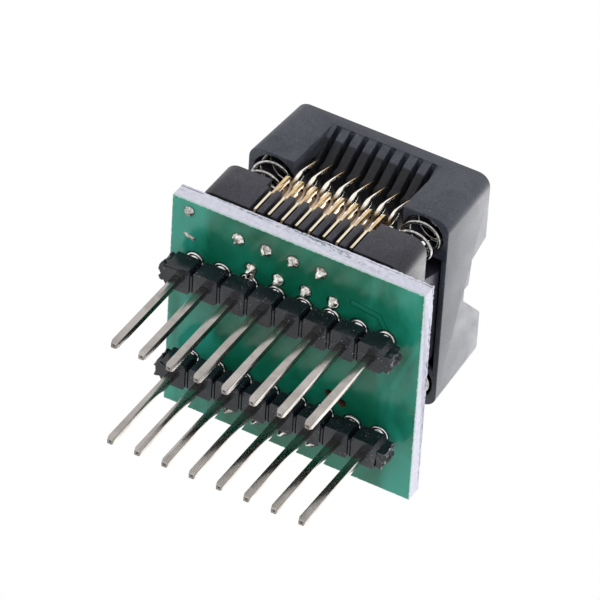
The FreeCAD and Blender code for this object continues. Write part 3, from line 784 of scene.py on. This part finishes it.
solder = {
    "padRadius": 0.80 * mm,
    "tailPadRadius": 0.52 * mm,
    "outerRow": 8.95 * mm,
    "innerRow": 6.45 * mm,
    # radius and drop in mm: a raised collar, a groove, then the cone along the pin
    "cone": [(0.80, -0.02), (0.79, 0.07), (0.73, 0.16), (0.64, 0.18), (0.585, 0.11), (0.55, 0.15),
             (0.50, 0.26), (0.46, 0.42), (0.43, 0.60), (0.41, 0.76), (0.39, 0.85)],
    "coneSides": 28,
    "coneLump": 0.016 * mm,
    "beadSides": 9,
    "beadLump": 0.060 * mm,
    "sunk": 0.02 * mm,
    # radius and drop in mm
    "bead": [(0.52, 0.0), (0.50, 0.10), (0.37, 0.24), (0.26, 0.42), (0.17, 0.60), (0.06, 0.76)],
    "flatBead": [(0.50, 0.0), (0.46, 0.14), (0.32, 0.24), (0.12, 0.34)],
    "bridge": ((-4.17, -5.75), (0.8, 1.1, 1.0)),    # place and scale of the bead that joins two joints
    # place, scale and turn in degrees: a matt lump and a bright sliver at the two plain vias
    "spots": [((-9.98, -9.86), (1.0, 1.0, 1.2), 20), ((-9.82, -7.22), (1.25, 0.42, 0.6), 12)],
    "spotLump": 0.075 * mm,
    "coneSwell": ((0.95, 1.06), (0.95, 1.06), (0.85, 1.05)),
    "beadSwell": ((0.92, 1.1), (0.92, 1.1), (0.85, 1.1)),
    "seed": 5,
}


boardFinish = {
    "greenDark": (0.003, 0.085, 0.045, 1),
    "greenLight": (0.006, 0.150, 0.092, 1),
    "trackGreen": (0.005, 0.135, 0.080, 1),
    "greenPale": (0.020, 0.250, 0.180, 1),
    "trackLine": (0.002, 0.050, 0.030, 1),
    "rim": (0.002, 0.020, 0.012, 1),
    "holeWall": (0.055, 0.030, 0.014, 1),
    "pad": (0.42, 0.36, 0.24, 1),
    "glass": (0.55, 0.54, 0.63, 1),
    "glassLight": (0.64, 0.64, 0.70, 1),
    "maskTint": (0.36, 0.50, 0.44, 1),
    "fibre": (0.17, 0.16, 0.22, 1),
    # each noise: scale, detail, roughness and distortion
    "cloudNoise": (230.0, 4.0, 0.55, 0.6),
    "wanderNoise": (330.0, 3.0, 0.5, 0.4),
    "raggedNoise": (2600.0, 4.0, 0.7),
    "dashNoise": (1100.0, 3.0, 0.6),
    "sparseNoise": (240.0, 2.0, 0.5),
    "wanderStretch": (1.0, 0.35, 1.0),
    "dashStretch": (0.4, 0.4, 4.0),
    "cloud": (0.35, 0.65),
    "middle": 0.6 * mm,         # the mask is palest far from here
    "wander": 3.0 * mm,
    "paleFrom": (7.2 * mm, 11.5 * mm),
    "streakShare": 0.5,
    "border": (0.02 * mm, 0.16 * mm),
    "chipped": (0.45, 0.75),
    "inHoles": 0.5 * mm,        # farther from the rim than this, a cut face is a hole's wall
    # the upper and middle fibre lines on the cut edge: height as a share of the board's, and fading
    "lines": ((0.86, (0.05, 0.02)), (0.55, (0.04, 0.01))),
    "sparse": (0.56, 0.62),
    "dashes": (0.50, 0.56),
    "tintBelow": (0.16, 0.0),
    "padMetal": 0.9,
    "maskRough": (0.16, 0.24),
    "glassRough": 0.85,
    "dashDepth": -0.5,
    "relief": 0.02 * mm,
    "tracks": [
        # start, end, half width, in mm
        ((5.3, -7.2), (7.65, -6.9), 0.22),
        ((7.65, -6.9), (8.49, -5.6), 0.22),
        ((3.67, 3.1), (4.92, 3.57), 0.25),
    ],
    "streaks": [
        ((11.4, -5.4), (9.34, -0.2), 0.22),
        ((-9.9, -4.0), (-8.7, -1.0), 0.12),
    ],
}


def addRun(tree, start, end, half):
    # a track on the board, given in mm
    places = {"Start": (start[0] * mm, start[1] * mm, 0), "End": (end[0] * mm, end[1] * mm, 0)}
    return useGroup(tree, trackGroup, {**places, "Half Width": half * mm})


def addMask(tree, place, split):
    # the green side of the board: tracks, pads, streaks and paler flanks
    look = boardFinish
    cloud = addRange(tree, addNoise(tree, place, *look["cloudNoise"]), *look["cloud"])
    tracks = [addRun(tree, *track) for track in look["tracks"]]
    copper = addTogether(tree, "MAXIMUM", [track["Mask"] for track in tracks])
    lines = addTogether(tree, "MAXIMUM", [track["Edge"] for track in tracks])
    lines = addMath(tree, "MULTIPLY", lines, addMath(tree, "SUBTRACT", 1.0, copper))
    toSide = addGap(tree, split["X"], look["middle"])
    wavy = addNoise(tree, addVector(tree, "MULTIPLY", place, look["wanderStretch"]), *look["wanderNoise"])
    wander = addRange(tree, wavy, 0.3, 0.7, -look["wander"], look["wander"])
    toSide = addMath(tree, "ADD", toSide, wander)

    colour = addMix(tree, cloud, look["greenDark"], look["greenLight"])
    colour = addMix(tree, addRange(tree, toSide, *look["paleFrom"]), colour, look["greenPale"])
    colour = addMix(tree, copper, colour, look["trackGreen"])
    colour = addMix(tree, lines, colour, look["trackLine"])
    for streak in look["streaks"]:
        faint = addMath(tree, "MULTIPLY", addRun(tree, *streak)["Mask"], look["streakShare"])
        colour = addMix(tree, faint, colour, look["greenPale"])
    pads = [useGroup(tree, padGroup, row) for row in padRows()]
    colour = addMix(tree, addTogether(tree, "MAXIMUM", [pad["Edge"] for pad in pads]), colour, look["rim"])
    bare = addTogether(tree, "MAXIMUM", [pad["Mask"] for pad in pads])
    return addMix(tree, bare, colour, look["pad"]), cloud, copper, bare


def boardMaterial():
    # green mask on the flat faces, pale glass fibre on the cut edges, bare pads each with a dark rim
    look = boardFinish
    material, tree, shader = newMaterial("boardGreen")
    place = addObjectPlace(tree)
    split = addSplit(tree, place)
    flat = addMath(tree, "GREATER_THAN", addMath(tree, "ABSOLUTE", addFacing(tree)["Z"]), 0.8)
    colour, cloud, copper, bare = addMask(tree, place, split)

    low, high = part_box("board")
    toEndX = addMath(tree, "SUBTRACT", high.x, addMath(tree, "ABSOLUTE", split["X"]))
    toEndY = addMath(tree, "SUBTRACT", high.y, addMath(tree, "ABSOLUTE", split["Y"]))
    toEdge = addMath(tree, "MINIMUM", toEndX, toEndY)
    ragged = addNoise(tree, place, *look["raggedNoise"])
    chipped = addMath(tree, "LESS_THAN", toEdge, addRange(tree, ragged, *look["chipped"], *look["border"]))

    spread = addVector(tree, "MULTIPLY", place, look["dashStretch"])
    dashes = addRange(tree, addNoise(tree, spread, *look["dashNoise"]), *look["dashes"])
    height = addMath(tree, "DIVIDE", addMath(tree, "SUBTRACT", split["Z"], low.z), high.z - low.z)
    sparse = addRange(tree, addNoise(tree, place, *look["sparseNoise"]), *look["sparse"])
    upper, middleLine = [addRange(tree, addGap(tree, height, at), *fade) for at, fade in look["lines"]]
    seams = addMath(tree, "MAXIMUM", upper, addMath(tree, "MULTIPLY", middleLine, sparse))
    dashes = addMath(tree, "MULTIPLY", dashes, seams)
    glass = addMix(tree, addRange(tree, ragged, 0.4, 0.6), look["glass"], look["glassLight"])
    glass = addMix(tree, addRange(tree, height, *look["tintBelow"]), glass, look["maskTint"])
    glass = addMix(tree, dashes, glass, look["fibre"])
    glass = addMix(tree, addMath(tree, "GREATER_THAN", toEdge, look["inHoles"]), glass, look["holeWall"])

    masked = addMath(tree, "MULTIPLY", flat, addMath(tree, "SUBTRACT", 1.0, chipped))
    tree.links.new(addMix(tree, masked, glass, colour), shader.inputs["Base Color"])
    bare = addMath(tree, "MULTIPLY", bare, flat)
    tree.links.new(addMath(tree, "MULTIPLY", bare, look["padMetal"]), shader.inputs["Metallic"])
    rough = addRange(tree, cloud, 0.0, 1.0, *look["maskRough"])
    tree.links.new(addRange(tree, masked, 0.0, 1.0, look["glassRough"], rough), shader.inputs["Roughness"])
    raised = addMath(tree, "ADD", copper, addMath(tree, "MULTIPLY", dashes, look["dashDepth"]))
    addBump(tree, shader, raised, 0.6, look["relief"])
    return material


def padRows():
    # the first and last pad of each row, where the CAD has its pins and tails
    rows = []

    def addRow(kind, side, first, last, y, radius):
        ends = [middle(f"{kind}_{side}_{number}").x for number in (first, last)]
        rows.append({"First": ends[0], "Last": ends[1], "Row": y, "Radius": solder[radius]})

    for side, sign in (("front", -1), ("back", 1)):
        addRow("header_pin", side, 1, 8, middle(f"header_pin_{side}_1").y, "padRadius")
        addRow("contact", side, 1, 7, sign * solder["outerRow"], "tailPadRadius")
        addRow("contact", side, 2, 8, sign * solder["innerRow"], "tailPadRadius")
    return rows


finish = {
    "board": boardMaterial(),
    # dark, light and worn colour, roughness, grain depth, amount of pale specks, grain scale, zone of painted
    # shade
    "header": blackPlastic("headerPlastic", (0.003, 0.0045, 0.006, 1), (0.008, 0.011, 0.016, 1),
                           (0.07, 0.07, 0.08, 1), 0.24, 0.003 * mm, 0.9, 9000.0),
    "base": blackPlastic("basePlastic", (0.006, 0.0055, 0.011, 1), (0.028, 0.026, 0.038, 1),
                         (0.10, 0.10, 0.11, 1), 0.42, 0.02 * mm, 0.4, 4200.0, footPaintedShade),
    "cover": blackPlastic("coverPlastic", (0.022, 0.024, 0.036, 1), (0.052, 0.056, 0.072, 1),
                          (0.12, 0.12, 0.13, 1), 0.42, 0.010 * mm, 0.3, 5200.0, ribPaintedShade),
    "pin": pinMaterial(),
    # dark and light colour, roughness, scale of the spots, bump depth
    "solder": metal("solderBright", (0.50, 0.49, 0.48, 1), (0.97, 0.97, 0.97, 1), 0.06, 1400.0, 0.004 * mm),
    "solderTails": metal("solderTails", (0.16, 0.14, 0.11, 1), (0.92, 0.91, 0.88, 1), 0.07, 2600.0, 0.012 * mm),
    "solderDull": metal("solderDull", (0.16, 0.15, 0.14, 1), (0.70, 0.68, 0.64, 1), 0.20, 4200.0, 0.04 * mm),
    "gold": goldMaterial(),
    "wire": metal("springWire", (0.22, 0.21, 0.20, 1), (0.72, 0.71, 0.69, 1), 0.12, 2500.0, 0.003 * mm),
}
print("stage: materials")


# the board

board = {
    "teeth": 110,
    "tooth": 0.10 * mm,
    "chip": 0.05 * mm,
    "chipAbove": 0.7,       # only the highest draws chip the other side
    "seed": 11,
}


def makeBoard():
    # its routed edges are a little rough, more so on the socket's side
    piece = fromCad("board", "circuitBoard", False)
    low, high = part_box("board")

    def outer(edge):
        ends = [vertex.co for vertex in edge.verts]
        level = abs(ends[0].z - ends[1].z) < near
        onX = all(high.x - abs(end.x) < near for end in ends)
        onY = all(high.y - abs(end.y) < near for end in ends)
        return level and (onX or onY)

    openMesh(piece)
    selectOnly("EDGE", outer)
    bpy.ops.mesh.subdivide(number_cuts=board["teeth"])
    bpy.ops.mesh.select_all(action="SELECT")
    bpy.ops.mesh.quads_convert_to_tris(quad_method="BEAUTY", ngon_method="BEAUTY")
    closeMesh()
    chance = random.Random(board["seed"])
    for vertex in piece.data.vertices:
        depth = chance.random() ** 2 * board["tooth"]
        chip = max(0.0, chance.random() - board["chipAbove"]) * board["chip"]
        place = vertex.co
        onX = high.x - abs(place.x) < near
        onY = high.y - abs(place.y) < near
        if onX == onY:
            continue        # corners stay, and so does all that isn't on the rim
        inward = depth if place.z > (low.z + high.z) / 2 else chip
        if onX:
            place.x -= math.copysign(inward, place.x)
        else:
            place.y -= math.copysign(inward, place.y)
    finishPiece(piece, "root", finish["board"], "circuit_board", "board")
    print("stage: board")


# header strips and pins

strips = {
    "edge": 0.05 * mm,
    "tornFrom": 10.22 * mm,     # from a strip's middle, where the broken ends begin
    "cuts": 5,
    "lump": 0.24 * mm,
    "lumpSize": 0.34 * mm,
    "lumpAcross": 0.7,
    "lumpStep": 7.0,            # keeps the two strips' lumps apart
    "pullIn": 0.20 * mm,
    "seam": 0.13 * mm,          # from the middle between two ways to each of its two seams
    "seamHalf": 0.06 * mm,
    "seamDepth": 0.14 * mm,
    "seed": 21,
}


def cutSeams(piece, side):
    # a pair of fine grooves underneath, between each two ways
    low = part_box(f"header_strip_{side}")[0]
    grooves = []
    for number in range(1, 8):
        between = (middle(f"header_pin_{side}_{number}").x + middle(f"header_pin_{side}_{number + 1}").x) / 2
        grooves += [between - strips["seam"], between + strips["seam"]]
    openMesh(piece)
    for groove in grooves:
        for shift in (-strips["seamHalf"], 0.0, strips["seamHalf"]):
            cutAcross((groove + shift, 0, 0), (1, 0, 0))
    closeMesh()
    for vertex in piece.data.vertices:
        if vertex.co.z < low.z + near and any(abs(vertex.co.x - groove) < near for groove in grooves):
            vertex.co.z += strips["seamDepth"]


def makeStrips():
    middleX = (middle("header_pin_front_1").x + middle("header_pin_front_8").x) / 2
    noise.seed_set(strips["seed"])      # without a seed this noise differs from run to run

    def torn(place):
        return abs(place.x - middleX) > strips["tornFrom"]

    for number, side in enumerate(("front", "back")):
        piece = fromCad(f"header_strip_{side}", f"headerStrip_{side}")
        openMesh(piece)
        selectOnly("FACE", lambda face: torn(face.calc_center_median()) and abs(face.normal.z) < 0.5)
        bpy.ops.mesh.subdivide(number_cuts=strips["cuts"])
        closeMesh()
        shift = Vector((number * strips["lumpStep"], strips["seed"], 0))
        for vertex in piece.data.vertices:
            if torn(vertex.co):
                push = noise.noise_vector(vertex.co / strips["lumpSize"] + shift)
                vertex.co += Vector((push.x, push.y * strips["lumpAcross"], 0)) * strips["lump"]
                vertex.co.x -= math.copysign(strips["pullIn"], vertex.co.x - middleX)
        cutSeams(piece, side)
        softEdges(piece, strips["edge"], 25)
        finishPiece(piece, "root", finish["header"], "header_plastic", f"header_strip_{side}")
    print("stage: header strips")


pins = {
    "width": 0.64 * mm,
    "taper": 0.34 * mm,
    "tipShare": 0.66,
    "edge": 0.04 * mm,
    "tipEdge": 0.05 * mm,
    "dimpleRim": 0.07 * mm,
    "dimple": 0.07 * mm,
}


def makePins():
    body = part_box("header_pin_front_1")[1].z - pins["taper"]
    deselectAll()
    bpy.ops.mesh.primitive_cube_add(size=1, location=(0, 0, pins["taper"] + body / 2))
    master = bpy.context.object
    master.scale = (pins["width"], pins["width"], body)
    bakePlace(master)
    openMesh(master)
    selectOnly("FACE", lambda face: face.normal.z < -0.9)
    bpy.ops.mesh.extrude_region_move(TRANSFORM_OT_translate={"value": (0, 0, -pins["taper"])})
    bpy.ops.transform.resize(value=(pins["tipShare"], pins["tipShare"], 1), center_override=(0, 0, 0))
    selectOnly("FACE", lambda face: face.normal.z < -0.9)
    bpy.ops.mesh.inset(thickness=pins["tipEdge"], depth=0)
    bpy.ops.mesh.inset(thickness=pins["dimpleRim"], depth=-pins["dimple"])
    closeMesh()
    softEdges(master, pins["edge"], 40)
    for side, sign, number, node, centre in eachWay("header_pin"):
        piece = placeCopy(master, f"headerPin_{side}_{number}", centre.x, centre.y)
        finishPiece(piece, "root", finish["pin"], "pin_metal", node)
    bpy.data.objects.remove(master)
    print("stage: header pins")


# solder

def makePinSolder():
    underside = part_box("board")[0].z
    rings = [(radius * mm, -drop * mm) for radius, drop in solder["cone"]]
    master = turned("pinSolderMaster", rings, solder["coneSides"])
    chance = random.Random(solder["seed"])
    cones = []
    for side, sign, number, node, centre in eachWay("header_pin"):
        swell = [chance.uniform(*limits) for limits in solder["coneSwell"]]
        cone = placeCopy(master, "cone", centre.x, centre.y, underside, swell, chance.uniform(0, 6))
        scatterPoints(cone, solder["coneLump"], number + 10 * len(cones))
        cones.append(cone)
    bpy.data.objects.remove(master)
    piece = joinPieces(cones, "pinSolder")
    smooth(piece, 50)
    finishPiece(piece, "root", finish["solder"], "solder", "pin_solder")
    print("stage: solder on the header pins")


def makeBead(rings, x, y, lump, seed, scale=(1, 1, 1), turn=None):
    # a bead of solder: turned and pushed out of shape
    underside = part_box("board")[0].z
    bead = turned("bead", [(radius * mm, -drop * mm) for radius, drop in rings], solder["beadSides"])
    scatterPoints(bead, lump, seed)
    bead.scale = scale
    bead.rotation_euler = (0, 0, seed * 0.7 if turn is None else math.radians(turn))
    bead.location = (x, y, underside + solder["sunk"])
    bakePlace(bead)
    smooth(bead, 32)
    return bead


def makeTailSolder():
    chance = random.Random(solder["seed"] + 1)
    lump = solder["beadLump"]
    beads = []
    for side, sign, number, node, centre in eachWay("contact"):
        row = solder["outerRow"] if number % 2 else solder["innerRow"]
        swell = [chance.uniform(*limits) for limits in solder["beadSwell"]]
        beads.append(makeBead(solder["bead"], centre.x, sign * row, lump, 31 * len(beads) + 3, swell))
    (x, y), scale = solder["bridge"]
    beads.append(makeBead(solder["flatBead"], x * mm, y * mm, lump, 77, scale))
    piece = joinPieces(beads, "tailSolder")
    finishPiece(piece, "root", finish["solderTails"], "solder", "tail_solder")

    lump = solder["spotLump"]
    spots = []
    for (x, y), scale, turn in solder["spots"]:
        spots.append(makeBead(solder["flatBead"], x * mm, y * mm, lump, len(spots) + 50, scale, turn))
    piece = joinPieces(spots, "viaSolder")
    finishPiece(piece, "root", finish["solderDull"], "solder", "via_solder")
    print("stage: solder on the socket's tails")


# the socket

socket = {
    "baseEdge": 0.07 * mm,
    "coverEdge": 0.07 * mm,
    "undercut": 0.50 * mm,      # the base's foot stands back from its walls
    "undercutRise": 0.50 * mm,
    "undercutStep": 0.04 * mm,
    "undercutOver": 1.43 * mm,  # and the step fades out this far inside them
}


def makeSocket():
    base = fromCad("socket_base", "socketBase")
    low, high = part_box("socket_base")
    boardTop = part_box("board")[1].z
    rise = boardTop + socket["undercutRise"]
    step = socket["undercutStep"]
    openMesh(base)
    for height in (rise, rise - step):
        cutAcross((0, 0, height), (0, 0, 1))
    closeMesh()
    centre = (low + high) / 2
    over = socket["undercutOver"]
    for vertex in base.data.vertices:
        place = vertex.co
        if place.z > rise - step / 2 or place.z < boardTop - near:
            continue
        shareX = max(0.0, abs(place.x - centre.x) - high.x + centre.x + over) / over
        shareY = max(0.0, abs(place.y - centre.y) - high.y + centre.y + over) / over
        place.x -= math.copysign(socket["undercut"] * shareX, place.x - centre.x)
        place.y -= math.copysign(socket["undercut"] * shareY, place.y - centre.y)
    softEdges(base, socket["baseEdge"], 30, False)
    finishPiece(base, "root", finish["base"], "base_plastic", "socket_base")
    cover = fromCad("socket_cover", "socketCover")
    softEdges(cover, socket["coverEdge"], 30, False)
    finishPiece(cover, "cover", finish["cover"], "cover_plastic", "socket_cover")
    print("stage: base and cover")


contacts = {
    "edge": 0.03 * mm,
    "lowerShare": 0.68,         # how thick the leg is, as a share of the stamped sheet
    "upperShare": 0.85,
    "step": 18.1 * mm,
    "footLift": 0.80 * mm,
    "footOuter": 9.6 * mm,
    "footHeight": 0.1 * mm,     # what is lower than this above the board is lifted
    "cutAt": 22.13 * mm,        # the lever above this is made anew
    # the shoulder and the needle: distance out, height, thickness and depth in mm
    "shoulder": [(8.60, 20.9, 0.28, 0.7), (8.60, 21.6, 0.36, 0.9), (8.70, 22.3, 0.60, 1.2),
                 (8.78, 22.8, 0.50, 1.02), (8.85, 23.2, 0.20, 0.50)],
    "needle": [(9.10, 22.3, 0.22, 0.24), (9.08, 22.9, 0.27, 0.30), (8.85, 23.8, 0.25, 0.29),
               (8.50, 25.1, 0.21, 0.23), (8.27, 26.0, 0.06, 0.06)],
}


def pushedBar(name, sections):
    # a bar pushed on from section to section: distance out, height, thickness along X and depth
    deselectAll()
    sections = [[value * mm for value in section] for section in sections]
    out, height, thick, deep = sections[0]
    bpy.ops.mesh.primitive_plane_add(size=1, location=(0, -out, height))
    bar = bpy.context.object
    bar.name = name
    bar.scale = (thick, deep, 1)
    bakePlace(bar)
    openMesh(bar)
    for nextOut, nextHeight, nextThick, nextDeep in sections[1:]:
        move = (0, out - nextOut, nextHeight - height)
        bpy.ops.mesh.extrude_region_move(TRANSFORM_OT_translate={"value": move})
        share = (nextThick / thick, nextDeep / deep, 1)
        bpy.ops.transform.resize(value=share, center_override=(0, -nextOut, nextHeight))
        out, height, thick, deep = nextOut, nextHeight, nextThick, nextDeep
    closeMesh(outward=True)
    rounder = bar.modifiers.new("rounder", "SUBSURF")
    rounder.levels = 2
    rounder.render_levels = 2
    applyAll(bar)
    smooth(bar, 60)
    return bar


def makeContacts():
    upper = joinPieces([pushedBar(name, contacts[name]) for name in ("shoulder", "needle")], "upper")
    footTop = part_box("board")[1].z + contacts["footHeight"]
    for side, sign, number, node, centre in eachWay("contact"):
        name = f"contactSpring_{side}_{number}"
        piece = fromCad(node, name)
        openMesh(piece)
        bpy.ops.mesh.bisect(plane_co=(0, 0, contacts["cutAt"]), plane_no=(0, 0, 1), use_fill=True,
                            clear_outer=True)
        closeMesh()
        for vertex in piece.data.vertices:
            place = vertex.co
            share = contacts["lowerShare"] if place.z < contacts["step"] else contacts["upperShare"]
            place.x = centre.x + (place.x - centre.x) * share
            if place.z < footTop and abs(place.y) > contacts["footOuter"]:
                place.z += contacts["footLift"]
        softEdges(piece, contacts["edge"], 25)
        tip = placeCopy(upper, "tip", centre.x, 0, turn=math.radians(0 if sign < 0 else 180))
        piece = joinPieces([piece, tip], name)
        finishPiece(piece, "root", finish["gold"], "contact_gold", node)
    bpy.data.objects.remove(upper)
    print("stage: contacts")


springs = {
    "radius": 1.57 * mm,
    "wire": 0.16 * mm,
    "wireSides": 12,
    "turns": 6,
    "steps": 40,
    "closedTurns": 0.75,
    "closedPitch": 2.2,         # in radii of the wire
    "press": 3.0 * mm,
}


def makeSprings():
    wire, turns, closed = springs["wire"], springs["turns"], springs["closedTurns"]
    sides, steps = springs["wireSides"], springs["steps"]
    closedRise = springs["closedPitch"] * wire
    for name in ("left_front", "left_back", "right_front", "right_back"):
        low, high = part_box(f"spring_{name}")
        centre = (low + high) / 2
        length = high.z - low.z
        openRise = (length - 2 * wire - 2 * closed * closedRise) / (turns - 2 * closed)
        deselectAll()
        bpy.ops.mesh.primitive_circle_add(vertices=sides, radius=wire, location=(springs["radius"], 0, 0),
                                          rotation=(math.radians(90), 0, 0))
        coil = bpy.context.object
        coil.name = f"spring_{name}_coil"
        bakePlace(coil)
        wind = coil.modifiers.new("wind", "SCREW")
        wind.axis = "Z"
        wind.angle = math.radians(360)
        wind.screw_offset = openRise
        wind.iterations = turns
        wind.steps = steps
        wind.render_steps = steps
        applyAll(coil)
        # the end turns lie close, so each ring of points gets its own height
        for number, vertex in enumerate(coil.data.vertices):
            turn = (number // sides) / steps
            rise = min(turn, closed) * closedRise
            rise += max(0.0, min(turn, turns - closed) - closed) * openRise
            rise += max(0.0, turn - turns + closed) * closedRise
            vertex.co.z += rise - turn * openRise
        coil.location = (centre.x, centre.y, low.z + wire)
        bakePlace(coil)
        openMesh(coil)
        bpy.ops.mesh.fill_holes(sides=sides)
        closeMesh(outward=True)
        smooth(coil, 60)
        finishPiece(coil, "root", finish["wire"], "spring_wire", f"spring_{name}")
        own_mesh(coil)
    print("stage: springs")


addCamera()
addLamps()
addWorld()
addFloor()
makeBoard()
makeStrips()
makePins()
makePinSolder()
makeTailSolder()
makeSocket()
makeContacts()
makeSprings()

bpy.context.scene.view_settings.view_transform = "Standard"
